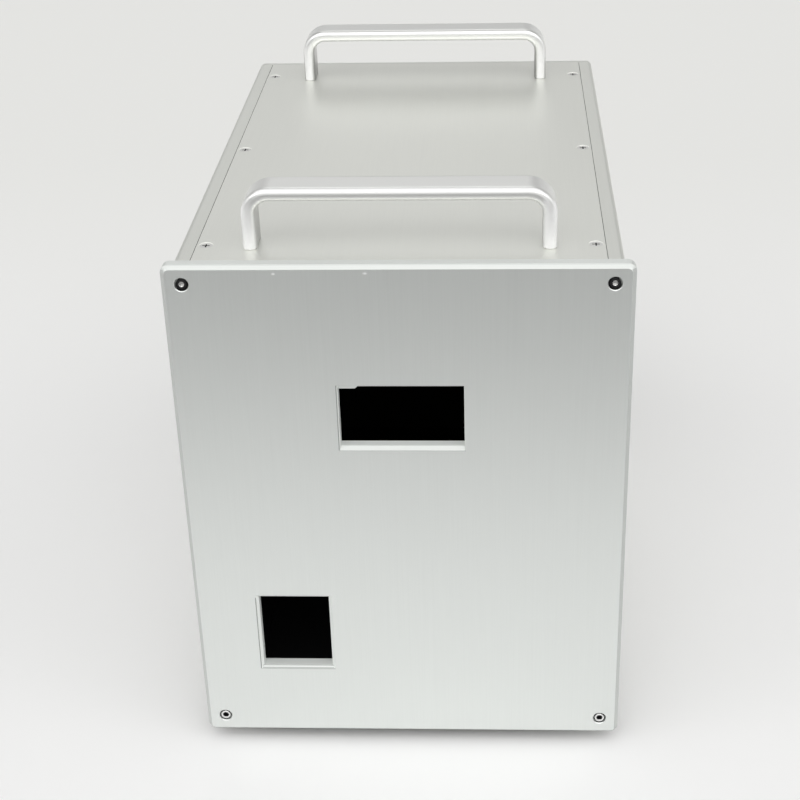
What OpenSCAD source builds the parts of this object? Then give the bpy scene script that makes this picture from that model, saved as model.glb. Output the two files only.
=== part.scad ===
// Upright aluminium electronics chassis: a thick front panel with two openings, two extruded side
// panels, flush top and bottom covers, a plain rear panel, two bow handles and four low feet.
// Sizes are in millimetres. Front is -Y, right is +X, up is +Z, feet stand on z = 0.

/* [Overall] */
// width of the body across the two side panels
body_w = 268; // [240:1:420]
// height of the body without feet and handles
body_h = 343; // [280:1:480]
// depth over all, front panel face to rear panel face
total_d = 410; // [260:1:560]
// height of the feet under the body
foot_h = 12; // [8:0.5:25]

/* [Front panel] */
// thickness of the front panel
panel_t = 8.5; // [6:0.5:12]
// how far the front panel stands out past the body at each side
panel_side_lip = 6; // [0:0.5:12]
// how far the front panel stands out above the body
panel_top_lip = 2.5; // [0:0.5:7]
// how far the front panel stands out below the body
panel_low_lip = 3.5; // [0:0.5:7]
// corner radius of the front panel outline
panel_r = 5.5; // [3.5:0.5:12]
// bevel along the front edges of the panel
panel_bevel = 2.5; // [0.5:0.1:3]

/* [Upper opening] */
// width of the upper opening
upper_w = 77; // [40:0.5:120]
// height of the upper opening
upper_h = 43; // [25:0.5:90]
// sideways place of the upper opening from the middle
upper_x = 0; // [-40:0.5:40]
// height of the upper opening's middle above the body's middle
upper_z = 72.5; // [30:0.5:110]
// bevel on the sill of the upper opening
upper_sill_bevel = 2.4; // [0.6:0.1:3]
// bevel on the left edge of the upper opening
upper_left_bevel = 0.9; // [0.2:0.1:2]
// small bevel on the top and right edges of the upper opening
upper_edge_bevel = 0.4; // [0.2:0.1:1]
// width of the small tab left in the upper opening's top left corner
tab_w = 14.5; // [5:0.5:25]
// height of that tab
tab_h = 4.4; // [2:0.1:8]
// thickness of that tab, level with the back of the panel
tab_t = 3; // [1:0.5:4]

/* [Lower opening] */
// width of the lower opening
lower_w = 46; // [25:0.5:70]
// height of the lower opening
lower_h = 56; // [25:0.5:80]
// sideways place of the lower opening from the middle
lower_x = -75; // [-80:0.5:80]
// height of the lower opening's middle above the body's middle
lower_z = -91.5; // [-105:0.5:-60]
// bevel round the lower opening
lower_bevel = 2; // [0.5:0.1:3]

/* [Side panels] */
// wall thickness of the side panels
side_t = 5; // [3:0.5:8]
// width of the solid rail along the top and bottom of each side panel
rail_w = 10; // [9:0.5:14]
// height of that rail
rail_h = 17; // [15:0.5:25]
// how far the ledge under each cover reaches in from the rail
ledge_w = 14; // [11:0.5:24]
// thickness of the ledge under each cover
ledge_t = 7; // [5:0.5:10]
// rounding of the long outer edges
side_r = 3; // [1:0.5:4]
// distance of the long screw bores from the body's side faces
bore_in_x = 6.5; // [5:0.25:7]
// distance of the long screw bores from the body's top and bottom
bore_in_z = 9.5; // [7:0.5:12]

/* [Covers and rear panel] */
// thickness of the top and bottom covers
cover_t = 3; // [2.6:0.1:5]
// thickness of the rear panel
rear_t = 4; // [3:0.5:6]
// corner radius of the rear panel
rear_r = 4; // [3:0.5:6]
// bevel along the outer edges of the rear panel
rear_bevel = 0.6; // [0.2:0.1:1]
// broken edge along both sides of each seam
seam_edge = 0.15; // [0.05:0.05:0.5]
// gap along each side of the covers
seam_gap = 0.2; // [0.1:0.05:0.8]
// distance of the front cover screws from the cover's front end
cover_screw_front = 28.5; // [15:0.5:60]
// distance of the rear cover screws from the cover's rear end
cover_screw_rear = 31.5; // [15:0.5:60]
// distance of the cover screws from the cover's side edge
cover_screw_edge = 6; // [5.5:0.25:7]

/* [Handles] */
// distance between the two fixing screws of a handle
handle_pitch = 180.5; // [100:0.5:190]
// height of a handle above the cover
handle_h = 39; // [32:0.5:60]
// thickness of the handle bar
bar_t = 8.5; // [8:0.5:10]
// depth of the handle bar, front to back
bar_d = 24; // [14:0.5:26]
// rounding of the four long edges of the bar
bar_edge = 3.8; // [2:0.1:3.9]
// bevel round the lower end of each leg
leg_edge = 0.6; // [0.2:0.1:1]
// inner radius of the two bends
bend_r = 9; // [5:0.5:14]
// distance of the handles' middle from the cover ends
handle_inset = 32; // [20:0.5:70]
// sideways place of the rear handle from the middle
rear_handle_x = 1.5; // [-5:0.5:5]

/* [Feet] */
// diameter of a foot
foot_d = 32; // [24:0.5:40]
// distance of the feet from the body's side faces
foot_inset_x = 42; // [42:0.5:70]
// distance of the feet from the body's ends
foot_inset_y = 40; // [25:0.5:80]

/* [Screws] */
// thread diameter of all the screws
screw_d = 4; // [3:0.5:4.5]
// head diameter of the socket head screws in the front panel
cap_d = 7; // [6.5:0.1:7.5]
// head height of the socket head screws
cap_h = 4; // [3.5:0.1:4.5]
// diameter of the sunk seats in the front panel
seat_d = 8.5; // [8:0.1:10]
// depth of the sunk seats in the front panel
seat_depth = 4.6; // [4:0.1:5]
// bevel round the mouth of the sunk seats
seat_edge = 0.4; // [0.1:0.1:0.8]
// diameter of the countersinks
sink_d = 9; // [8.4:0.1:9.4]
// how far the countersunk heads sit below the surface
sink_drop = 0.3; // [0:0.05:0.4]

/* [Hidden] */
round_fn = 64;
// small step that makes two bodies meet, and how far a cut runs past a surface
eps = 0.01;
over = 1;
// play of a screw in its tapped hole, in a plain hole, and of a sunk head in its countersink
tap_play = 0.1;
hole_play = 0.4;
head_play = 0.04;
// heights of the body
z0 = foot_h;
z1 = foot_h + body_h;
z_mid = (z0 + z1) / 2;
// front panel outline
panel_w = body_w + 2 * panel_side_lip;
panel_h = body_h + panel_top_lip + panel_low_lip;
panel_z = (z0 + z1 + panel_top_lip - panel_low_lip) / 2;
// stations along the depth
y_face = -total_d / 2;
y_body = y_face + panel_t;
y_rear = total_d / 2 - rear_t;
y_back = total_d / 2;
body_len = y_rear - y_body;
y_mid = (y_body + y_rear) / 2;
// corner screws of the front and rear panels share the bores in the side panels
corner_x = body_w / 2 - bore_in_x;
corner_z = body_h / 2 - bore_in_z;
// covers
seam_x = body_w / 2 - rail_w;
cover_w = 2 * (seam_x - seam_gap);
cover_x = seam_x - cover_screw_edge;
cover_ys = [y_body + cover_screw_front, (y_body + cover_screw_front + y_rear - cover_screw_rear) / 2,
            y_rear - cover_screw_rear];
// handles
leg_x = handle_pitch / 2;
handle_y = body_len / 2 - handle_inset;
// middle of each handle: front, rear
handle_at = [[0, y_mid - handle_y], [rear_handle_x, y_mid + handle_y]];
bend_mid = bend_r + bar_t / 2;
bar_z = handle_h - bar_t / 2;
handle_bore = 12;
handle_bore_spare = 2;
// feet: rubber left above the screw head, taper and edge of the outline, play round the screw head
foot_x = body_w / 2 - foot_inset_x;
foot_y = body_len / 2 - foot_inset_y;
foot_floor = 4;
foot_taper = 2;
foot_edge = 1;
foot_play = 1;
// screws, washers and nuts
shank_d = screw_d - tap_play;
pass_d = screw_d + hole_play;
cap_shank = 20;
cap_edge = 0.4;
socket_w = 3;
socket_depth = 2;
socket_mouth = 4.2;
rear_screw_l = 12;
cross_w = 4.6;
cross_end = 2.2;
cross_t = 0.9;
cross_depth = 1.8;
pan_d = 7.6;
pan_h = 2.8;
pan_rim = 1.2;
pan_flat = 5.4;
washer_d = 9;
washer_t = 0.8;
nut_w = 7;
nut_h = 3.2;
nut_spare = 1.5;

// round bar along Y from y to y + l
module rod_y(d, x, y, z, l) {
    translate([x, y + l, z])
        rotate([90, 0, 0])
            cylinder(d = d, h = l, $fn = round_fn);
}

// half section of a plate's edge, bevelled at the face y = 0
module edge_section(half, t, bevel) {
    polygon([[0, 0], [half - bevel, 0], [half, bevel], [half, t], [0, t]]);
}

// block of a plate with both long edges bevelled, running along Z
module bevel_block(w, h, t, bevel) {
    linear_extrude(h, center = true)
        union() {
            edge_section(w / 2, t, bevel);
            mirror([1, 0])
                edge_section(w / 2, t, bevel);
        }
}

// one bevelled round corner of a plate
module bevel_corner(r, t, bevel) {
    rotate([-90, 0, 0])
        rotate_extrude(angle = 90, $fn = round_fn)
            edge_section(r, t, bevel);
}

// upright plate with round corners and a bevel all round its face at y = 0
module bevel_plate(w, h, t, r, bevel) {
    union() {
        bevel_block(w, h - 2 * r, t, bevel);
        rotate([0, 90, 0])
            bevel_block(h, w - 2 * r, t, bevel);
        for (a = [0, 1])
            for (b = [0, 1])
                mirror([a, 0, 0])
                    mirror([0, 0, b])
                        translate([w / 2 - r, 0, r - h / 2])
                            bevel_corner(r, t, bevel);
    }
}

// tapering cut of an opening's front edge, c deep, with its own bevel on each side
module bevel_cut(w, h, left, right, low, high, c) {
    intersection() {
        linear_extrude(2 * (w + h), center = true)
            polygon([[-w / 2 - left, -eps], [w / 2 + right, -eps], [w / 2 + right, 0],
                     [w / 2, right], [w / 2, c], [-w / 2, c], [-w / 2, left], [-w / 2 - left, 0]]);
        rotate([0, 90, 0])
            linear_extrude(2 * (w + h), center = true)
                polygon([[h / 2 + low, -eps], [-h / 2 - high, -eps], [-h / 2 - high, 0],
                         [-h / 2, high], [-h / 2, c], [h / 2, c], [h / 2, low], [h / 2 + low, 0]]);
    }
}

// straight opening right through the panel
module opening(w, h, x, z) {
    translate([x - w / 2, y_face - over, z_mid + z - h / 2])
        cube([w, panel_t + 2 * over, h]);
}

// small tab in the top left corner of the upper opening, its free end cut at 45 degrees
module corner_tab() {
    translate([upper_x - upper_w / 2, y_face + panel_t, z_mid + upper_z + upper_h / 2])
        rotate([90, 0, 0])
            linear_extrude(tab_t)
                polygon([[-over, over], [tab_w + over, over], [tab_w - tab_h, -tab_h],
                         [-over, -tab_h]]);
}

// sunk seats with bevelled mouths, and holes, for the four panel screws
module panel_seats() {
    for (sx = [-1, 1])
        for (sz = [-1, 1]) {
            translate([sx * corner_x, y_face - eps, z_mid + sz * corner_z])
                rotate([-90, 0, 0])
                    cylinder(d1 = seat_d + 2 * (seat_edge + eps), d2 = seat_d, h = seat_edge + eps,
                             $fn = round_fn);
            rod_y(seat_d, sx * corner_x, y_face - over, z_mid + sz * corner_z, seat_depth + over);
            rod_y(pass_d, sx * corner_x, y_face - over, z_mid + sz * corner_z, panel_t + 2 * over);
        }
}

// thick front panel with bevelled edges, two openings and sunk screw seats
module front_panel() {
    color([0.80, 0.81, 0.82])
        union() {
            difference() {
                translate([0, y_face, panel_z])
                    bevel_plate(panel_w, panel_h, panel_t, panel_r, panel_bevel);
                opening(upper_w, upper_h, upper_x, upper_z);
                opening(lower_w, lower_h, lower_x, lower_z);
                translate([upper_x, y_face, z_mid + upper_z])
                    bevel_cut(upper_w, upper_h, upper_left_bevel, upper_edge_bevel,
                              upper_sill_bevel, upper_edge_bevel,
                              max(upper_sill_bevel, upper_left_bevel));
                translate([lower_x, y_face, z_mid + lower_z])
                    bevel_cut(lower_w, lower_h, lower_bevel, lower_bevel,
                              lower_bevel, lower_bevel, lower_bevel);
                panel_seats();
            }
            corner_tab();
        }
}

// socket head screw lying along +Y, underside of the head at y = 0
module cap_screw() {
    mouth_h = (socket_mouth - socket_w) / 2;
    difference() {
        union() {
            rotate([90, 0, 0])
                rotate_extrude($fn = round_fn)
                    polygon([[0, 0], [cap_d / 2, 0], [cap_d / 2, cap_h - cap_edge],
                             [cap_d / 2 - cap_edge, cap_h], [0, cap_h]]);
            rod_y(shank_d, 0, -eps, 0, cap_shank);
        }
        translate([0, socket_depth - cap_h, 0])
            rotate([90, 0, 0])
                cylinder(d = socket_w / cos(30), h = socket_depth + over, $fn = 6);
        translate([0, -cap_h - eps, 0])
            rotate([-90, 0, 0])
                cylinder(d1 = socket_mouth + 2 * eps, d2 = socket_w, h = mouth_h + eps, $fn = round_fn);
    }
}

// four socket head screws that hold the front panel to the side panels
module front_panel_screws() {
    color([0.62, 0.63, 0.65])
        for (sx = [-1, 1])
            for (sz = [-1, 1])
                translate([sx * corner_x, y_face + seat_depth, z_mid + sz * corner_z])
                    cap_screw();
}

// countersink and hole going down from z = 0 through a plate t thick
module sink(t) {
    translate([0, 0, -sink_d / 2])
        cylinder(r1 = 0, r2 = sink_d / 2, h = sink_d / 2, $fn = round_fn);
    translate([0, 0, -t - over])
        cylinder(d = pass_d, h = t + over, $fn = round_fn);
    cylinder(d = sink_d, h = over, $fn = round_fn);
}

// cross recess going down from z = 0, narrower at its bottom
module cross_recess() {
    for (a = [0, 90])
        rotate([90, 0, a])
            linear_extrude(cross_t, center = true)
                polygon([[-cross_w / 2, over], [-cross_w / 2, 0], [-cross_end / 2, -cross_depth],
                         [cross_end / 2, -cross_depth], [cross_w / 2, 0], [cross_w / 2, over]]);
}

// countersunk cross-recess screw l long, surface of the plate at z = 0
module sunk_screw(l) {
    head_r = sink_d / 2 - sink_drop - head_play;
    difference() {
        union() {
            translate([0, 0, -sink_drop - head_r])
                cylinder(r1 = 0, r2 = head_r, h = head_r, $fn = round_fn);
            translate([0, 0, -l])
                cylinder(d = shank_d, h = l - sink_d / 4, $fn = round_fn);
        }
        translate([0, 0, -sink_drop])
            cross_recess();
    }
}

// section of the right side panel: wall, rails with a rounded outer edge, ledges and screw bores
module side_section() {
    difference() {
        union() {
            translate([body_w / 2 - side_t, z0 + side_r])
                square([side_t, body_h - 2 * side_r]);
            for (m = [0, 1])
                translate([0, m * (z0 + z1)])
                    mirror([0, m])
                        union() {
                            translate([seam_x, z0 + side_r])
                                square([rail_w, rail_h - side_r]);
                            polygon([[seam_x + seam_edge, z0], [body_w / 2 - side_r, z0],
                                     [body_w / 2 - side_r, z0 + rail_h], [seam_x, z0 + rail_h],
                                     [seam_x, z0 + seam_edge]]);
                            translate([body_w / 2 - side_r, z0 + side_r])
                                circle(r = side_r, $fn = round_fn);
                            translate([seam_x - ledge_w, z0 + cover_t])
                                square([ledge_w + over, ledge_t]);
                        }
        }
        for (sz = [-1, 1])
            translate([corner_x, z_mid + sz * corner_z])
                circle(d = screw_d, $fn = round_fn);
    }
}

// extruded side panel on the right, with tapped holes for the cover screws
module side_panel() {
    difference() {
        translate([0, y_rear, 0])
            rotate([90, 0, 0])
                linear_extrude(body_len)
                    side_section();
        for (y = cover_ys) {
            translate([cover_x, y, z1 - cover_t - ledge_t - over])
                cylinder(d = screw_d, h = ledge_t + 2 * over, $fn = round_fn);
            translate([cover_x, y, z0 + cover_t - over])
                cylinder(d = screw_d, h = ledge_t + 2 * over, $fn = round_fn);
        }
    }
}

// right side panel
module right_side_panel() {
    color([0.78, 0.79, 0.80])
        side_panel();
}

// left side panel, the same extrusion mirrored
module left_side_panel() {
    color([0.78, 0.79, 0.80])
        mirror([1, 0, 0])
            side_panel();
}

// plain rear panel that closes the ends of the side panels
module rear_panel() {
    color([0.79, 0.80, 0.81])
        difference() {
            translate([0, y_back, z_mid])
                mirror([0, 1, 0])
                    bevel_plate(body_w, body_h, rear_t, rear_r, rear_bevel);
            for (sx = [-1, 1])
                for (sz = [-1, 1])
                    translate([sx * corner_x, y_back, z_mid + sz * corner_z])
                        rotate([-90, 0, 0])
                            sink(rear_t);
        }
}

// four countersunk screws of the rear panel
module rear_panel_screws() {
    color([0.70, 0.71, 0.73])
        for (sx = [-1, 1])
            for (sz = [-1, 1])
                translate([sx * corner_x, y_back, z_mid + sz * corner_z])
                    rotate([-90, 0, 0])
                        sunk_screw(rear_screw_l);
}

// cover plate with broken long edges and six countersinks, upper face at z = 0
module cover_plate() {
    half = cover_w / 2;
    difference() {
        translate([0, y_rear, 0])
            rotate([90, 0, 0])
                linear_extrude(body_len)
                    polygon([[-half, -cover_t], [half, -cover_t], [half, -seam_edge],
                             [half - seam_edge, 0], [seam_edge - half, 0], [-half, -seam_edge]]);
        for (sx = [-1, 1])
            for (y = cover_ys)
                translate([sx * cover_x, y, 0])
                    sink(cover_t);
    }
}

// top cover, with holes for the four handle screws
module top_cover() {
    color([0.81, 0.82, 0.83])
        difference() {
            translate([0, 0, z1])
                cover_plate();
            for (sx = [-1, 1])
                for (m = handle_at)
                    translate([m[0] + sx * leg_x, m[1], z1 - cover_t - over])
                        cylinder(d = pass_d, h = cover_t + 2 * over, $fn = round_fn);
        }
}

// six countersunk screws of the top cover
module top_cover_screws() {
    color([0.70, 0.71, 0.73])
        for (sx = [-1, 1])
            for (y = cover_ys)
                translate([sx * cover_x, y, z1])
                    sunk_screw(cover_t + ledge_t);
}

// bottom cover, with holes for the four foot screws
module bottom_cover() {
    color([0.79, 0.80, 0.81])
        difference() {
            translate([0, 0, z0])
                mirror([0, 0, 1])
                    cover_plate();
            for (sx = [-1, 1])
                for (sy = [-1, 1])
                    translate([sx * foot_x, y_mid + sy * foot_y, z0 - over])
                        cylinder(d = pass_d, h = cover_t + 2 * over, $fn = round_fn);
        }
}

// six countersunk screws of the bottom cover
module bottom_cover_screws() {
    color([0.70, 0.71, 0.73])
        for (sx = [-1, 1])
            for (y = cover_ys)
                translate([sx * cover_x, y, z0])
                    mirror([0, 0, 1])
                        sunk_screw(cover_t + ledge_t);
}

// section of the handle bar: flat with well rounded edges, thickness along the first axis
module bar_section() {
    union() {
        square([bar_t, bar_d - 2 * bar_edge], center = true);
        square([bar_t - 2 * bar_edge, bar_d], center = true);
        for (a = [-1, 1])
            for (b = [-1, 1])
                translate([a * (bar_t / 2 - bar_edge), b * (bar_d / 2 - bar_edge)])
                    circle(r = bar_edge, $fn = round_fn);
    }
}

// wedge of a bevelled leg end, w wide at its top and running l along Z
module end_wedge(w, l) {
    linear_extrude(l, center = true)
        polygon([[leg_edge - w / 2, 0], [w / 2 - leg_edge, 0], [w / 2, leg_edge], [-w / 2, leg_edge]]);
}

// lowest slice of a leg, bevelled all round
module leg_end() {
    union() {
        rotate([90, 0, 0])
            end_wedge(bar_t, bar_d - 2 * bar_edge);
        rotate([90, 0, 90])
            end_wedge(bar_d, bar_t - 2 * bar_edge);
        for (a = [-1, 1])
            for (b = [-1, 1])
                translate([a * (bar_t / 2 - bar_edge), b * (bar_d / 2 - bar_edge), 0])
                    cylinder(r1 = bar_edge - leg_edge, r2 = bar_edge, h = leg_edge, $fn = round_fn);
    }
}

// bow handle standing on z = 0: two legs, two bends and the bar
module bow_handle() {
    difference() {
        union() {
            for (a = [0, 1])
                mirror([a, 0, 0]) {
                    translate([leg_x, 0, 0])
                        leg_end();
                    translate([leg_x, 0, leg_edge])
                        linear_extrude(bar_z - bend_mid - leg_edge)
                            bar_section();
                    translate([leg_x - bend_mid, 0, bar_z - bend_mid])
                        rotate([90, 0, 0])
                            rotate_extrude(angle = 90, $fn = round_fn)
                                translate([bend_mid, 0])
                                    bar_section();
                }
            translate([bend_mid - leg_x, 0, bar_z])
                rotate([0, 90, 0])
                    linear_extrude(2 * (leg_x - bend_mid))
                        bar_section();
        }
        for (s = [-1, 1])
            translate([s * leg_x, 0, -over])
                cylinder(d = screw_d, h = handle_bore + over, $fn = round_fn);
    }
}

// handle near the front edge
module front_handle() {
    color([0.88, 0.88, 0.88])
        translate([handle_at[0][0], handle_at[0][1], z1])
            bow_handle();
}

// handle near the rear edge
module rear_handle() {
    color([0.88, 0.88, 0.88])
        translate([handle_at[1][0], handle_at[1][1], z1])
            bow_handle();
}

// pan head screw pointing up, underside of the head at z = 0
module pan_screw(l) {
    difference() {
        union() {
            rotate_extrude($fn = round_fn)
                polygon([[0, 0], [pan_d / 2, 0], [pan_d / 2, -pan_rim], [pan_flat / 2, -pan_h],
                         [0, -pan_h]]);
            translate([0, 0, -eps])
                cylinder(d = shank_d, h = l, $fn = round_fn);
        }
        translate([0, 0, -pan_h])
            mirror([0, 0, 1])
                cross_recess();
    }
}

// four screws that hold the handles from inside
module handle_screws() {
    color([0.70, 0.71, 0.73])
        for (sx = [-1, 1])
            for (m = handle_at)
                translate([m[0] + sx * leg_x, m[1], z1 - cover_t - washer_t])
                    pan_screw(cover_t + washer_t + handle_bore - handle_bore_spare);
}

// four flat washers under the heads of the handle screws
module handle_washers() {
    color([0.72, 0.73, 0.75])
        for (sx = [-1, 1])
            for (m = handle_at)
                translate([m[0] + sx * leg_x, m[1], z1 - cover_t - washer_t])
                    difference() {
                        cylinder(d = washer_d, h = washer_t, $fn = round_fn);
                        translate([0, 0, -over])
                            cylinder(d = pass_d, h = washer_t + 2 * over, $fn = round_fn);
                    }
}

// round foot with a sunk screw seat in its underside
module foot() {
    seat_r = pan_d / 2 + foot_play;
    land_r = foot_d / 2 - foot_taper - foot_edge;
    rotate_extrude($fn = round_fn)
        polygon([[pass_d / 2, foot_h - foot_floor], [seat_r, foot_h - foot_floor], [seat_r, 0],
                 [land_r, 0], [land_r + foot_edge, foot_edge], [foot_d / 2, foot_h],
                 [pass_d / 2, foot_h]]);
}

// front left foot
module front_left_foot() {
    color([0.10, 0.10, 0.10])
        translate([-foot_x, y_mid - foot_y, 0])
            foot();
}

// front right foot
module front_right_foot() {
    color([0.10, 0.10, 0.10])
        translate([foot_x, y_mid - foot_y, 0])
            foot();
}

// rear left foot
module rear_left_foot() {
    color([0.10, 0.10, 0.10])
        translate([-foot_x, y_mid + foot_y, 0])
            foot();
}

// rear right foot
module rear_right_foot() {
    color([0.10, 0.10, 0.10])
        translate([foot_x, y_mid + foot_y, 0])
            foot();
}

// four screws through the feet and the bottom cover
module foot_screws() {
    color([0.70, 0.71, 0.73])
        for (sx = [-1, 1])
            for (sy = [-1, 1])
                translate([sx * foot_x, y_mid + sy * foot_y, foot_h - foot_floor])
                    pan_screw(foot_floor + cover_t + nut_h + nut_spare);
}

// four nuts on the foot screws, inside the case
module foot_nuts() {
    color([0.70, 0.71, 0.73])
        for (sx = [-1, 1])
            for (sy = [-1, 1])
                translate([sx * foot_x, y_mid + sy * foot_y, z0 + cover_t])
                    difference() {
                        cylinder(d = nut_w / cos(30), h = nut_h, $fn = 6);
                        translate([0, 0, -over])
                            cylinder(d = screw_d, h = nut_h + 2 * over, $fn = round_fn);
                    }
}

front_panel();
front_panel_screws();
left_side_panel();
right_side_panel();
rear_panel();
rear_panel_screws();
top_cover();
top_cover_screws();
bottom_cover();
bottom_cover_screws();
front_handle();
rear_handle();
handle_screws();
handle_washers();
front_left_foot();
front_right_foot();
rear_left_foot();
rear_right_foot();
foot_screws();
foot_nuts();
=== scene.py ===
import math

import bmesh
import bpy
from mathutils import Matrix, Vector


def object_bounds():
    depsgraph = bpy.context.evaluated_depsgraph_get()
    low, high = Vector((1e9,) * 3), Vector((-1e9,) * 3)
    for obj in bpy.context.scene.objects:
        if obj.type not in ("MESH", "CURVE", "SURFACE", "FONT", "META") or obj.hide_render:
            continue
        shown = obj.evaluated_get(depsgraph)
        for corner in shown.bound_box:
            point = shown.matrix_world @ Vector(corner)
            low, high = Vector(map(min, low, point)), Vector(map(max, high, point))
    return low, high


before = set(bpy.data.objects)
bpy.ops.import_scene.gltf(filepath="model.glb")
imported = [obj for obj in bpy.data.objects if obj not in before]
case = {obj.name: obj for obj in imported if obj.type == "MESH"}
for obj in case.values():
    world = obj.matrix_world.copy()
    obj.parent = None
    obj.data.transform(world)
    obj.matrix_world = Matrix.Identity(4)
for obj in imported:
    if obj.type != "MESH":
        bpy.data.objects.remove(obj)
cad_low, cad_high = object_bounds()


# Side panels
# Two aluminium extrusions, brushed lengthways and clear anodised; the other panels are screwed to them.
# Their inner walls are painted matt black as painted shade inside the closed case, and the narrow seams
# beside the covers are painted dark as painted shade in the gaps.
case_grey = (0.806, 0.815, 0.778)
side_smooth = 0.42
side_rough = 0.52
side_skin = 0.0005
# painted shade: the inside of the case is painted black
inner_shade_black = (0.010, 0.010, 0.011, 1.0)
inner_rough = 0.8
seam_gap = 0.0002
seam_half = 0.0004
seam_edge = 0.0001
# painted shade in the narrow gaps beside the covers
seam_shade_tone = 0.10


def ends_of(*names):
    """Lowest and highest corner of some pieces of the case."""
    points = [vertex.co for name in names for vertex in case[name].data.vertices]
    return [min(p[k] for p in points) for k in range(3)], [max(p[k] for p in points) for k in range(3)]


def block(*spans):
    """Middle and half size of a box, from its span along each axis."""
    return tuple((low + high) / 2 for low, high in spans), tuple((high - low) / 2 for low, high in spans)


def feed(tree, socket, value):
    """Sets a socket, or links it where the value comes from another node."""
    if isinstance(value, (int, float, tuple)):
        socket.default_value = value
    else:
        tree.links.new(value, socket)


def maths(tree, operation, *values):
    """Result of one sum, whose values are numbers or come from other nodes."""
    node = tree.nodes.new("ShaderNodeMath")
    node.operation = operation
    for socket, value in zip(node.inputs, values):
        feed(tree, socket, value)
    return node.outputs[0]


def spread_over(tree, value, low, high):
    """Turns a value from nought to one into a value from low to high."""
    node = tree.nodes.new("ShaderNodeMapRange")
    feed(tree, node.inputs["Value"], value)
    feed(tree, node.inputs["To Min"], low)
    feed(tree, node.inputs["To Max"], high)
    return node.outputs["Result"]


def blend(tree, share, first, second):
    """Goes from the first colour to the second as the share goes from nought to one."""
    node = tree.nodes.new("ShaderNodeMix")
    node.data_type = "RGBA"
    sockets = {socket.identifier: socket for socket in node.inputs}
    feed(tree, sockets["Factor_Float"], share)
    feed(tree, sockets["A_Color"], first)
    feed(tree, sockets["B_Color"], second)
    return next(socket for socket in node.outputs if socket.identifier == "Result_Color")


def speckle(tree, place, scale, detail):
    """Fine noise, drawn out along an axis that has a smaller scale."""
    mapping = tree.nodes.new("ShaderNodeMapping")
    mapping.inputs["Scale"].default_value = scale
    noise = tree.nodes.new("ShaderNodeTexNoise")
    noise.inputs["Scale"].default_value = 1.0
    noise.inputs["Detail"].default_value = detail
    noise.inputs["Roughness"].default_value = 0.6
    feed(tree, mapping.inputs["Vector"], place)
    feed(tree, noise.inputs["Vector"], mapping.outputs["Vector"])
    return noise.outputs["Fac"]


def within(tree, axes, middle, half):
    """One inside a box, nought outside it."""
    sides = [maths(tree, "COMPARE", axes[k], middle[k], half[k]) for k in range(3)]
    return maths(tree, "MULTIPLY", maths(tree, "MULTIPLY", sides[0], sides[1]), sides[2])


def blot(tree, axes, middle, reach):
    """One at the middle of a small mark, falling to nought at its rim."""
    squares = []
    for k in range(3):
        part = maths(tree, "DIVIDE", maths(tree, "SUBTRACT", axes[k], middle[k]), reach[k])
        squares.append(maths(tree, "MULTIPLY", part, part))
    total = maths(tree, "ADD", maths(tree, "ADD", squares[0], squares[1]), squares[2])
    return spread_over(tree, total, 1.0, 0.0)


def tint(colour, factor):
    """A colour made darker or paler by a factor."""
    return tuple(min(1.0, factor * c) for c in colour) + (1.0,)


def roughen(tree, shader, height, strength, depth):
    """Gives the surface a fine relief that follows a noise."""
    bump = tree.nodes.new("ShaderNodeBump")
    bump.inputs["Strength"].default_value = strength
    bump.inputs["Distance"].default_value = depth
    feed(tree, bump.inputs["Height"], height)
    feed(tree, shader.inputs["Normal"], bump.outputs["Normal"])


def new_finish(name):
    """A new material: the finish, its nodes, its shader and the place on the piece."""
    finish = bpy.data.materials.new(name)
    finish.use_nodes = True
    tree = finish.node_tree
    place = tree.nodes.new("ShaderNodeTexCoord").outputs["Object"]
    return finish, tree, tree.nodes["Principled BSDF"], place


def axes_of(tree, place):
    """A place as its x, y and z."""
    parted = tree.nodes.new("ShaderNodeSeparateXYZ")
    feed(tree, parted.inputs["Vector"], place)
    return [parted.outputs[k] for k in range(3)]


def dress(finish, *names):
    """Gives some pieces of the case one finish."""
    for name in names:
        case[name].data.materials.clear()
        case[name].data.materials.append(finish)


# a hair's breadth, which keeps a flat face clear of the border of a box
hair = 0.00005
case_low, case_high = ends_of("left_side_panel", "right_side_panel")
lower_cover_low, lower_cover_high = ends_of("bottom_cover")
upper_cover_low, upper_cover_high = ends_of("top_cover")
inner_space = block((case_low[0] + side_skin, case_high[0] - side_skin),
                    (case_low[1] - hair, case_high[1] + hair),
                    (lower_cover_high[2] - hair, upper_cover_low[2] + hair))

plate_metal = 0.80
brush_size = 1500.0
brush_length = 16.0
brush_detail = 3.0
brush_tone = 0.03
brush_bump = 0.10
brush_depth = 0.00004
cloud_size = (9.0, 9.0, 9.0)
cloud_detail = 2.0
cloud_rough = 0.015
milled_metal = 0.20
milled_rough = 0.65


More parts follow.
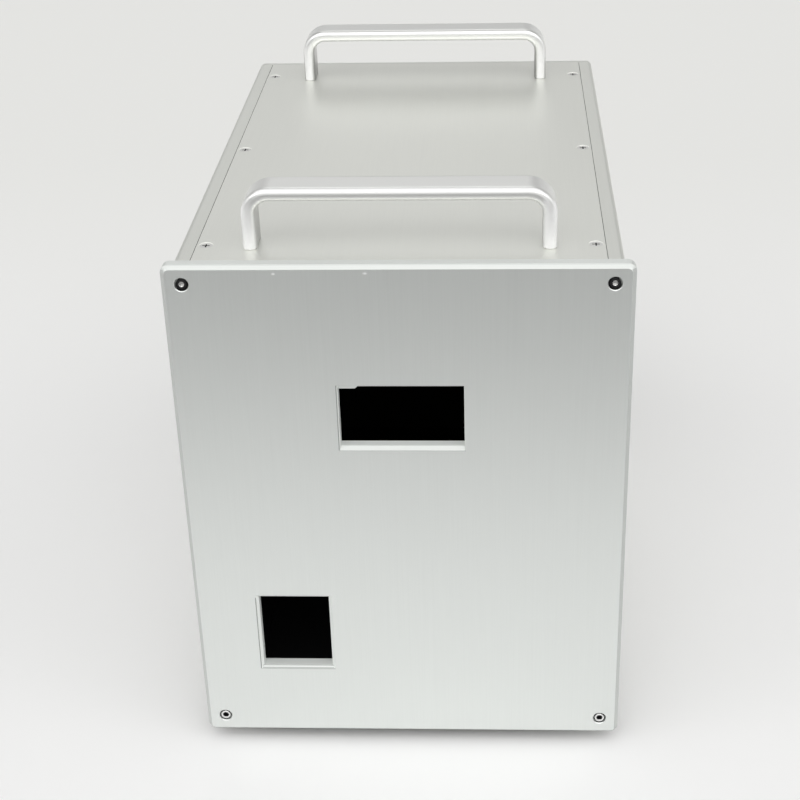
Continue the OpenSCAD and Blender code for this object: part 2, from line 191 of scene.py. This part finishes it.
def anodised_plate(name, grey, grain, smooth, rough, cuts_and_painted_light=(), chips=()):
    """Brushed and clear anodised aluminium, with milled cuts, boxes of painted light and shade, and small
    chips; the inside is painted black as painted shade.
    """
    finish, tree, shader, place = new_finish(name)
    axes = axes_of(tree, place)
    fine = speckle(tree, place, grain, brush_detail)
    cloud = speckle(tree, place, cloud_size, cloud_detail)
    inside = within(tree, axes, *inner_space)
    outside = maths(tree, "SUBTRACT", 1.0, inside)
    colour = blend(tree, fine, tint(grey, 1.0 - brush_tone), tint(grey, 1.0 + brush_tone))
    shine = plate_metal
    worn = maths(tree, "ADD", spread_over(tree, fine, smooth, rough),
                 spread_over(tree, cloud, -cloud_rough, cloud_rough))
    # each box gives a tone, for a milled face or for painted light and shade; each blot is a chip
    bare_and_painted = [(within(tree, axes, *cut), tone) for cut, tone in cuts_and_painted_light]
    bare_and_painted += [(blot(tree, axes, *chip), tone) for chip, tone in chips]
    for share, tone in bare_and_painted:
        colour = blend(tree, share, colour, tint(grey, tone))
        shine = maths(tree, "MULTIPLY_ADD", share, maths(tree, "SUBTRACT", milled_metal, shine), shine)
        worn = maths(tree, "MAXIMUM", worn, maths(tree, "MULTIPLY", share, milled_rough))
    worn = maths(tree, "MAXIMUM", worn, maths(tree, "MULTIPLY", inside, inner_rough))
    feed(tree, shader.inputs["Base Color"], blend(tree, inside, colour, inner_shade_black))
    feed(tree, shader.inputs["Metallic"], maths(tree, "MULTIPLY", outside, shine))
    feed(tree, shader.inputs["Roughness"], worn)
    roughen(tree, shader, fine, brush_bump, brush_depth)
    return finish


lengthways_brush = (brush_size, brush_length, brush_size)
whole_y = (cad_low[1], cad_high[1])
seam_z = (case_low[2] + seam_edge, case_high[2] - seam_edge)
seams = [block((x - seam_half, x + seam_half), whole_y, seam_z)
         for x in (upper_cover_low[0] - seam_gap, upper_cover_high[0] + seam_gap)]
# the walls of the seams are painted dark, as painted shade in the gaps
seam_shade_cuts = tuple((seam, seam_shade_tone) for seam in seams)
brushed_lengthways = anodised_plate("brushed_lengthways", case_grey, lengthways_brush,
                                    side_smooth, side_rough, seam_shade_cuts)
dress(brushed_lengthways, "left_side_panel", "right_side_panel")


# Covers
# Flat aluminium plates, brushed front to back and clear anodised, each held by six countersunk screws.
# Their cut edges and countersinks are milled, and scatter light more evenly than the brushed face.
# the covers' grey is paler than the side panels' grey of the same finish: painted light, brightening the
# covers
cover_grey = (0.850, 0.858, 0.818)
cover_smooth = 0.36
cover_rough = 0.46
cover_edge_tone = 1.17
whole_x = (cad_low[0], cad_high[0])
upper_edges = block(whole_x, whole_y, (upper_cover_low[2] - hair, upper_cover_high[2] - hair))
lower_edges = block(whole_x, whole_y, (lower_cover_low[2] + hair, lower_cover_high[2] + hair))
# the covers' milled edges, and the painted shade of the seams
cover_cuts_and_seam_shade = ((upper_edges, cover_edge_tone), (lower_edges, cover_edge_tone)) + seam_shade_cuts
brushed_cover = anodised_plate("brushed_cover", cover_grey, lengthways_brush, cover_smooth, cover_rough,
                               cover_cuts_and_seam_shade)
dress(brushed_cover, "top_cover", "bottom_cover")


# Rear panel
# A plain aluminium plate with the same finish, brushed upright.
# Four countersunk screws hold it to the ends of the side panels.
upright_brush = (brush_size, brush_size, brush_length)
end_smooth = 0.30
end_rough = 0.40
brushed_upright = anodised_plate("brushed_upright", case_grey, upright_brush, end_smooth, end_rough)
dress(brushed_upright, "rear_panel")


# Front panel
# A thick aluminium plate, brushed upright and milled: a bevel all round, two openings and four screw seats.
# The milled edges vary in tone as painted light and shade, and thin painted shade lines run along the left
# and lower sides of the openings.
# The lower edge, the top edge, the side bevels and the two upper seats are painted darker as painted shade,
# the top bevel paler as a painted highlight, and two small chips show near the top edge.
panel_grey = (0.791, 0.815, 0.795)
panel_low, panel_high = ends_of("front_panel")
panel_face = panel_low[1]
panel_back = panel_high[1] + hair
through = (panel_face + hair, panel_back)

# each opening: its milled edge all round, and the sills behind its bevel, whose own tone is painted light
upper_x = (-0.0398, 0.0394)
upper_z = (0.2322, 0.2782)
upper_sill_depth = 0.0026
upper_edge = block(upper_x, through, upper_z)
upper_sill_painted_light = block(upper_x, (panel_face + upper_sill_depth, panel_back), upper_z)
lower_x = (-0.1002, -0.0498)
lower_z = (0.0618, 0.1222)
lower_sill_depth = 0.0022
lower_edge = block(lower_x, through, lower_z)
lower_sill_painted_light = block(lower_x, (panel_face + lower_sill_depth, panel_back), lower_z)

# the lower opening's bottom bevel, painted dark as painted shade, with a painted highlight line along it
bevel_x = (-0.0990, -0.0510)
bevel_y = (panel_face - hair, panel_face + 0.0023)
bevel_z = (0.0620, 0.0640)
bevel_highlight_z = (0.0627, 0.0635)
lower_bevel_shade = block(bevel_x, bevel_y, bevel_z)
bevel_highlight_line = block(bevel_x, bevel_y, bevel_highlight_z)

# painted shade lines along the mouths of the openings
line_half = 0.0003
line_depth = 0.0006
line_y = (panel_face - hair, panel_face + line_depth)


def upright_line(x, z_span):
    """A thin line up the panel's face, for a painted shade line."""
    return block((x - line_half, x + line_half), line_y, z_span)


def level_line(z, x_span):
    """A thin line across the panel's face, for a painted shade line."""
    return block(x_span, line_y, (z - line_half, z + line_half))


upper_left_shade_line = upright_line(-0.0394, (0.2320, 0.2780))
upper_low_shade_line = level_line(0.2321, (-0.0396, 0.0392))
lower_left_shade_line = upright_line(-0.1000, (0.0620, 0.1200))
lower_low_shade_line = level_line(0.0620, (-0.1000, -0.0500))

# rim of the panel: painted shade on the lower edge, the top edge and the side bevels, and a painted
# highlight on the top bevel
rim_bevel = 0.0025
under_half = 0.0012
top_half = 0.0006
top_bevel_end = 0.0015
side_bevel_end = 0.0030
panel_x = (panel_low[0] - hair, panel_high[0] + hair)
under_edge_shade = block(panel_x, through, (panel_low[2] - under_half, panel_low[2] + under_half))
top_edge_shade = block(panel_x, through, (panel_high[2] - top_half, panel_high[2] + top_half))
top_bevel_highlight = block((panel_low[0] + top_bevel_end, panel_high[0] - top_bevel_end),
                  (panel_face - hair, panel_face + rim_bevel + hair),
                  (panel_high[2] - rim_bevel, panel_high[2] + hair))
side_bevel_z = (panel_low[2] - hair, panel_high[2] - side_bevel_end)
left_bevel_shade = block((panel_x[0], panel_low[0] + rim_bevel), through, side_bevel_z)
right_bevel_shade = block((panel_high[0] - rim_bevel, panel_x[1]), through, side_bevel_z)

# upper screw seats, painted dark as painted shade
seat_x = 0.1260
seat_half = 0.0046
upper_screw_z = 0.3455
seat_y = (panel_face + 0.0004, panel_face + 0.0050)
seat_z = (upper_screw_z - seat_half, upper_screw_z + seat_half)
left_seat_shade, right_seat_shade = [block((x - seat_half, x + seat_half), seat_y, seat_z) for x in (-seat_x, seat_x)]

# tone of each cut against the panel's grey, most of them painted light and shade; a later one covers an
# earlier one
panel_cuts_and_painted_light = ((upper_edge, 1.03), (upper_sill_painted_light, 1.12),
              (lower_edge, 1.08), (lower_bevel_shade, 0.62), (bevel_highlight_line, 1.00), (lower_sill_painted_light, 1.02),
              (upper_left_shade_line, 0.45), (upper_low_shade_line, 0.75),
              (lower_left_shade_line, 0.45), (lower_low_shade_line, 0.65),
              (under_edge_shade, 0.20), (left_seat_shade, 0.10), (right_seat_shade, 0.10),
              (top_bevel_highlight, 1.05), (top_edge_shade, 0.93), (left_bevel_shade, 0.75), (right_bevel_shade, 0.72))
chip_tone = 1.27
panel_chips = ((((-0.0726, panel_face, 0.3524), (0.0015, 0.0005, 0.0009)), chip_tone),
               (((-0.0188, panel_face, 0.3525), (0.0017, 0.0005, 0.0008)), chip_tone))
brushed_front = anodised_plate("brushed_front", panel_grey, upright_brush, end_smooth, end_rough,
                               panel_cuts_and_painted_light, panel_chips)
dress(brushed_front, "front_panel")


# Screws, washers and nuts
# Plated steel hardware, turned and polished; the heads in the top cover are duller than the others.
# The cross recesses at the top and rear and the two lower hexagon sockets are painted dark as painted shade,
# and the faces of the two upper socket heads are painted dark as a painted reflection.
spot_size = (900.0, 900.0, 900.0)
spot_detail = 2.0
spot_tone = 0.92
painted_shade_dark = (0.04, 0.04, 0.042, 1.0)
recess_rough = 0.5


def plated_steel(name, colour, smooth, rough, shaded_places=()):
    """Plated steel with fine spots, painted dark in given places as painted shade or a painted dark
    reflection.
    """
    finish, tree, shader, place = new_finish(name)
    shader.inputs["Metallic"].default_value = 1.0
    axes = axes_of(tree, place)
    spots = speckle(tree, place, spot_size, spot_detail)
    plating = blend(tree, spots, tint(colour, spot_tone), tint(colour, 1.0))
    worn = spread_over(tree, spots, smooth, rough)
    for recess in shaded_places:
        in_shade = within(tree, axes, *recess)
        plating = blend(tree, in_shade, plating, painted_shade_dark)
        worn = maths(tree, "MAXIMUM", worn, maths(tree, "MULTIPLY", in_shade, recess_rough))
    feed(tree, shader.inputs["Base Color"], plating)
    feed(tree, shader.inputs["Roughness"], worn)
    return finish


steel_grey = (0.72, 0.72, 0.71)
steel_smooth = 0.08
steel_rough = 0.15
hidden_steel = plated_steel("hidden_steel", steel_grey, steel_smooth, steel_rough)
dress(hidden_steel, "bottom_cover_screws", "handle_screws", "handle_washers", "foot_screws", "foot_nuts")

dull_grey = (0.84, 0.84, 0.82)
dull_smooth = 0.32
dull_rough = 0.40
recess_floor = 0.00215
cover_recess_mouth = 0.00035
cover_face = upper_cover_high[2]
cover_recess_shade = block(whole_x, whole_y, (cover_face - recess_floor, cover_face - cover_recess_mouth))
cover_steel = plated_steel("cover_steel", dull_grey, dull_smooth, dull_rough, [cover_recess_shade])
dress(cover_steel, "top_cover_screws")

rear_recess_mouth = 0.00045
rear_face = cad_high[1]
whole_z = (cad_low[2], cad_high[2])
rear_recess_shade = block(whole_x, (rear_face - recess_floor, rear_face - rear_recess_mouth), whole_z)
rear_steel = plated_steel("rear_steel", steel_grey, steel_smooth, steel_rough, [rear_recess_shade])
dress(rear_steel, "rear_panel_screws")

bright_grey = (0.86, 0.86, 0.85)
bright_smooth = 0.03
bright_rough = 0.07
lower_screw_z = 0.0215
screw_reach = 0.01
socket_y = (panel_face + 0.0007, panel_face + 0.0031)
head_y = (panel_face - 0.0002, panel_face + 0.0010)
# painted shade: the two lower hexagon sockets are painted dark
lower_socket_shade = block(whole_x, socket_y, (lower_screw_z - screw_reach, lower_screw_z + screw_reach))
# painted reflection: the faces of the two upper heads are painted dark, as a dark reflection
upper_head_dark_reflection = block(whole_x, head_y, (upper_screw_z - screw_reach, upper_screw_z + screw_reach))
socket_steel = plated_steel("socket_steel", bright_grey, bright_smooth, bright_rough,
                            [lower_socket_shade, upper_head_dark_reflection])
dress(socket_steel, "front_panel_screws")


# Handles
# Bow handles bent from flat aluminium bar with well rounded edges, bead blasted fine and clear anodised.
# A screw from inside the cover holds each leg. The fronts and some edges carry painted highlights, the sides
# and edges of the legs painted shade, and the front bar has a small nick on its front edge.
handle_grey = (0.945, 0.95, 0.935)
handle_smooth = 0.30
handle_rough = 0.36
bar_metal = 0.85
# painted highlight: pale, less metallic marks on the handles
highlight_metal = 0.10
highlight_tone = 1.08
satin_detail = 2.0
blast_size = (2400.0, 2400.0, 2400.0)
blast_bump = 0.10
blast_depth = 0.00003
shade_size = (30.0, 30.0, 30.0)
shade_tone = 0.98


def satin_bar(name, handle, marks):
    """Satin finish of one handle; a mark has a place from the handle's foot, a reach, a tone and a metal;
    the marks are a nick, painted highlights and painted shade.
    """
    finish, tree, shader, place = new_finish(name)
    axes = axes_of(tree, place)
    low, high = ends_of(handle)
    foot = ((low[0] + high[0]) / 2, (low[1] + high[1]) / 2, low[2])
    blast = speckle(tree, place, blast_size, satin_detail)
    shade = speckle(tree, place, shade_size, satin_detail)
    surface = blend(tree, shade, tint(handle_grey, shade_tone), tint(handle_grey, 1.0))
    shine = bar_metal
    for middle, reach, tone, metal in marks:
        share = blot(tree, axes, tuple(foot[k] + middle[k] for k in range(3)), reach)
        surface = blend(tree, share, surface, tint(handle_grey, tone))
        shine = maths(tree, "MULTIPLY_ADD", share, maths(tree, "SUBTRACT", metal, shine), shine)
    feed(tree, shader.inputs["Base Color"], surface)
    feed(tree, shader.inputs["Metallic"], shine)
    feed(tree, shader.inputs["Roughness"], spread_over(tree, blast, handle_smooth, handle_rough))
    roughen(tree, shader, blast, blast_bump, blast_depth)
    return finish


def nick_and_shade_mark(place, reach, tone):
    """A darker or paler mark that is as bright a metal as the bar: the nick and its rim, and painted shade
    on the legs.
    """
    return place, reach, tone, bar_metal


def painted_highlight(place, reach):
    """A painted highlight: a pale, less metallic mark on the bar."""
    return place, reach, highlight_tone, highlight_metal


def both_sides(place):
    """A place on the left leg and its mirrored place on the right leg."""
    x, y, z = place
    return (-x, y, z), (x, y, z)


# front handle: the nick and its pale rim, painted shade on the legs' inner sides, painted highlights on
# their fronts and their outer edges, then painted highlights on the right leg's inner edge and the bar's
# upper edge along its whole length
front_side = (0.0012, 0.0200, 0.0260)
front_leg = (0.0075, 0.0075, 0.0330)
front_edge = (0.0035, 0.0050, 0.0200)
front_marks = [nick_and_shade_mark((0.0374, -0.0100, 0.0355), (0.0009, 0.0009, 0.0009), 0.02),
               nick_and_shade_mark((0.0388, -0.0100, 0.0355), (0.0008, 0.0008, 0.0008), 1.20)]
front_marks += [nick_and_shade_mark(place, front_side, 0.76) for place in both_sides((0.0860, 0.0, 0.0050))]
front_marks += [painted_highlight((-0.0910, -0.0120, 0.0040), front_leg), painted_highlight((0.0905, -0.0120, 0.0040), front_leg)]
front_marks += [painted_highlight(place, front_edge) for place in both_sides((0.0940, -0.0105, 0.0190))]
front_marks += [painted_highlight((0.0872, -0.0110, 0.0150), (0.0035, 0.0045, 0.0220)),
                painted_highlight((0.0, -0.0110, 0.0377), (1.0, 0.0020, 0.0020))]
front_bar = satin_bar("front_bar", "front_handle", front_marks)
dress(front_bar, "front_handle")

# rear handle: painted shade on the legs' inner sides, painted highlights on their fronts, then painted shade
# on their inner and outer edges
rear_side = (0.0014, 0.0200, 0.0280)
rear_leg = (0.0048, 0.0060, 0.0330)
rear_inner_edge = (0.0020, 0.0070, 0.0290)
rear_outer_edge = (0.0012, 0.0080, 0.0320)
rear_marks = [nick_and_shade_mark(place, rear_side, 0.55) for place in both_sides((0.0860, 0.0, 0.0050))]
rear_marks += [painted_highlight((-0.0908, -0.0120, 0.0040), rear_leg), painted_highlight((0.0906, -0.0120, 0.0040), rear_leg)]
rear_marks += [nick_and_shade_mark(place, rear_inner_edge, 0.45) for place in both_sides((0.0866, -0.0085, 0.0050))]
rear_marks += [nick_and_shade_mark(place, rear_outer_edge, 0.55) for place in both_sides((0.0947, -0.0085, 0.0090))]
rear_bar = satin_bar("rear_bar", "rear_handle", rear_marks)
dress(rear_bar, "rear_handle")


# Feet
# Round feet of moulded black rubber under the bottom cover.
# A screw from below and a nut inside the case hold each one.
rubber_dark = (0.016, 0.016, 0.017, 1.0)
rubber_pale = (0.034, 0.034, 0.035, 1.0)
rubber_size = (1200.0, 1200.0, 1200.0)
rubber_detail = 3.0
rubber_smooth = 0.62
rubber_rough = 0.78
rubber_bump = 0.3
rubber_depth = 0.0001


def moulded_rubber(name):
    """Matt black rubber with a fine grain."""
    finish, tree, shader, place = new_finish(name)
    grain = speckle(tree, place, rubber_size, rubber_detail)
    feed(tree, shader.inputs["Base Color"], blend(tree, grain, rubber_dark, rubber_pale))
    feed(tree, shader.inputs["Roughness"], spread_over(tree, grain, rubber_smooth, rubber_rough))
    roughen(tree, shader, grain, rubber_bump, rubber_depth)
    return finish


black_rubber = moulded_rubber("black_rubber")
dress(black_rubber, "front_left_foot", "front_right_foot", "rear_left_foot", "rear_right_foot")


# Studio
# A plain pale paper floor, painted darker far behind the case as painted light falloff, that fades to grey
# well in front of the case, outside the picture, as painted shade for the metal to reflect; soft light from
# all round and the camera at the photograph's place.
floor_half = 12.0
floor_mesh = bpy.data.meshes.new("floor")
shape = bmesh.new()
bmesh.ops.create_grid(shape, x_segments=1, y_segments=1, size=floor_half)
shape.to_mesh(floor_mesh)
shape.free()
floor = bpy.data.objects.new("floor", floor_mesh)
bpy.context.scene.collection.objects.link(floor)


def fade(tree, value, start, end, strength=1.0):
    """Rises softly from nought at the start to full strength at the end."""
    node = tree.nodes.new("ShaderNodeMapRange")
    node.interpolation_type = "SMOOTHSTEP"
    node.inputs["From Min"].default_value = start
    node.inputs["From Max"].default_value = end
    node.inputs["To Max"].default_value = strength
    feed(tree, node.inputs["Value"], value)
    return node.outputs["Result"]


# painted shade: the paper turns grey well in front of the case, for the metal to reflect
shade_grey_paper = (0.29, 0.29, 0.29, 1.0)
white_paper = (0.915, 0.913, 0.915, 1.0)
# painted light falloff: the paper is darker far behind the case
far_shade_paper = (0.835, 0.835, 0.82, 1.0)
grey_until = -1.06
white_from = -0.38
white_until = 0.0
far_from = 1.0
paper, paper_tree, paper_shader, paper_place = new_finish("pale_paper")
paper_shader.inputs["Roughness"].default_value = 0.8
paper_shader.inputs["Specular IOR Level"].default_value = 0.1
paper_depth = axes_of(paper_tree, paper_place)[1]
far_share = fade(paper_tree, paper_depth, white_until, far_from)
pale_share = fade(paper_tree, paper_depth, grey_until, white_from)
pale_colour = blend(paper_tree, far_share, white_paper, far_shade_paper)
feed(paper_tree, paper_shader.inputs["Base Color"], blend(paper_tree, pale_share, shade_grey_paper, pale_colour))
floor.data.materials.append(paper)

world = bpy.data.worlds.new("studio")
world.use_nodes = True
bpy.context.scene.world = world
sky = world.node_tree
heading = sky.nodes.new("ShaderNodeTexCoord").outputs["Generated"]


def glow(toward, edge, full, strength):
    """Soft light from one side of the studio, fading between two cosines round its direction."""
    length = math.sqrt(sum(c * c for c in toward))
    turn = sky.nodes.new("ShaderNodeVectorMath")
    turn.operation = "DOT_PRODUCT"
    sky.links.new(heading, turn.inputs[0])
    turn.inputs[1].default_value = tuple(c / length for c in toward)
    return fade(sky, turn.outputs["Value"], edge, full, strength)


back_low = glow((0.0, 1.0, 0.05), -0.10, 0.75, 0.23)
back_mid = glow((-0.04, 0.80, 0.60), 0.945, 0.99, 0.80)
back_high = glow((0.0, 0.60, 0.80), 0.90, 0.98, 0.22)
back_left = glow((-0.38, 0.92, 0.09), 0.94, 0.985, 0.34)
back_right = glow((0.36, 0.92, 0.09), 0.94, 0.985, 0.40)
overhead = glow((0.0, 0.0, 1.0), 0.85, 0.97, 0.42)
front_high = glow((0.0, -0.64, 0.77), 0.90, 0.98, 1.28)
front_low = glow((0.0, -1.0, 0.0), 0.75, 0.90, 0.82)
left_wide = glow((-1.0, 0.0, 0.3), 0.60, 0.95, 0.38)
right_wide = glow((1.0, 0.0, 0.3), 0.60, 0.95, 0.46)
left_narrow = glow((-0.90, -0.15, 0.40), 0.93, 0.985, 0.62)
right_narrow = glow((0.90, -0.15, 0.40), 0.93, 0.985, 0.62)
left_key = glow((-0.47, -0.47, 0.75), 0.83, 0.97, 1.50)
right_key = glow((0.47, -0.47, 0.75), 0.83, 0.97, 1.56)
light = back_low
for lamp in (back_mid, back_high, back_left, back_right, overhead, front_high, front_low,
             left_wide, right_wide, left_narrow, right_narrow, left_key, right_key):
    light = maths(sky, "ADD", lamp, light)
background = sky.nodes["Background"]
sky.links.new(light, background.inputs["Strength"])
background.inputs["Color"].default_value = (1.0, 1.0, 0.992, 1.0)

lens = bpy.data.cameras.new("camera")
lens.sensor_width = 36.0
lens.lens = 71.2
lens.shift_x = -0.042
lens.shift_y = -0.036
camera_turn = (62.1239, 1.1497, 2.0799)
camera = bpy.data.objects.new("camera", lens)
camera.location = (0.0598, -1.0467, 0.7335)
camera.rotation_euler = tuple(math.radians(angle) for angle in camera_turn)
bpy.context.scene.collection.objects.link(camera)
bpy.context.scene.camera = camera
bpy.context.scene.view_settings.view_transform = "Standard"
